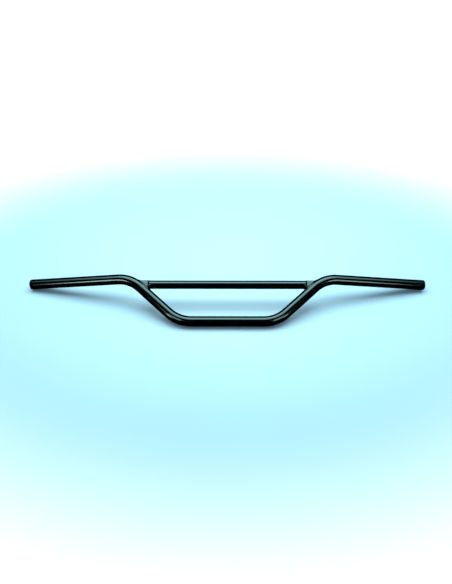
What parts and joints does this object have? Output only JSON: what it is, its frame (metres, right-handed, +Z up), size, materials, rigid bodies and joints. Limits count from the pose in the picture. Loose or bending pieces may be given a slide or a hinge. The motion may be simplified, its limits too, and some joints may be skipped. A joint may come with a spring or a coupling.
{
  "type": "motorcycle handlebar",
  "caption": "Bent steel off-road motorcycle handlebar with open tube ends and a welded crossbar bracing its risers, lying as it rests on a table.",
  "frame": {"origin": "on the table under the bar, halfway between the clamp section and the tube ends from front to back and midway between the two ends", "axes": "+X along the clamp section, +Y from the clamp section towards the grip ends along the table, +Z up from the table the bar lies on"},
  "size_m": [0.8748, 0.1315, 0.0612],
  "materials": {
    "tube_paint": "gloss black paint on steel tube",
    "crossbar_paint": "gloss black paint on steel tube",
    "weld_paint": "gloss black paint over a rippled weld bead"
  },
  "bodies": {
    "root": {"main_tube": "tube_paint", "crossbar": "crossbar_paint", "weld_left": "weld_paint", "weld_right": "weld_paint"}
  },
  "joints": []
}
